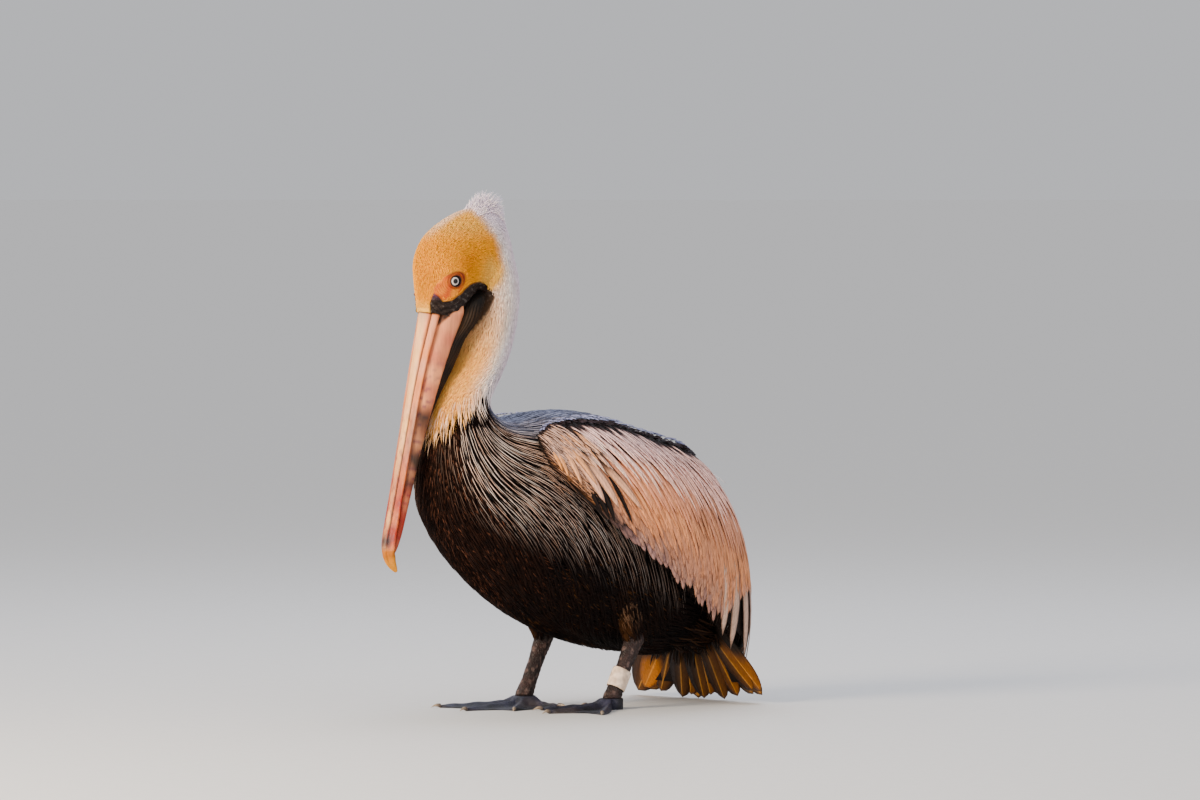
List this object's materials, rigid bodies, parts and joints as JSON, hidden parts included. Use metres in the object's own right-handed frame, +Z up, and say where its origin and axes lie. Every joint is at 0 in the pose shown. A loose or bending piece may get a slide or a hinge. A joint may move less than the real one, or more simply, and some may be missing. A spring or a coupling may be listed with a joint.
{
  "type": "bird figure",
  "caption": "Life-size brown pelican at rest on flat webbed feet, long bill laid down over the breast, wings folded, tail fanned behind.",
  "frame": {"origin": "middle of the bird's plan, on the floor under its soles", "axes": "+Z up, the bird faces -Y, its left side is +X"},
  "size_m": [0.2416, 0.4792, 0.5657],
  "materials": {
    "head_plumage": "matte",
    "neck_plumage": "matte",
    "body_plumage": "matte",
    "wing_plumage": "satin",
    "tail_plumage": "satin",
    "bill_horn": "satin",
    "pouch_skin": "satin",
    "eye": "gloss",
    "leg_skin": "satin",
    "claw_horn": "satin",
    "band": "satin"
  },
  "bodies": {
    "root": {"head": "head_plumage", "neck": "neck_plumage", "trunk": "body_plumage", "wing_left": "wing_plumage", "wing_right": "wing_plumage", "tail": "tail_plumage", "upper_bill": "bill_horn", "lower_bill": "bill_horn", "pouch": "pouch_skin", "eye_left": "eye", "eye_right": "eye", "leg_left": "leg_skin", "leg_right": "leg_skin", "foot_left": "leg_skin", "foot_right": "leg_skin", "leg_band": "band", "claw_left_outer": "claw_horn", "claw_left_middle": "claw_horn", "claw_left_inner": "claw_horn", "claw_left_hind": "claw_horn", "claw_right_outer": "claw_horn", "claw_right_middle": "claw_horn", "claw_right_inner": "claw_horn", "claw_right_hind": "claw_horn"}
  },
  "joints": []
}
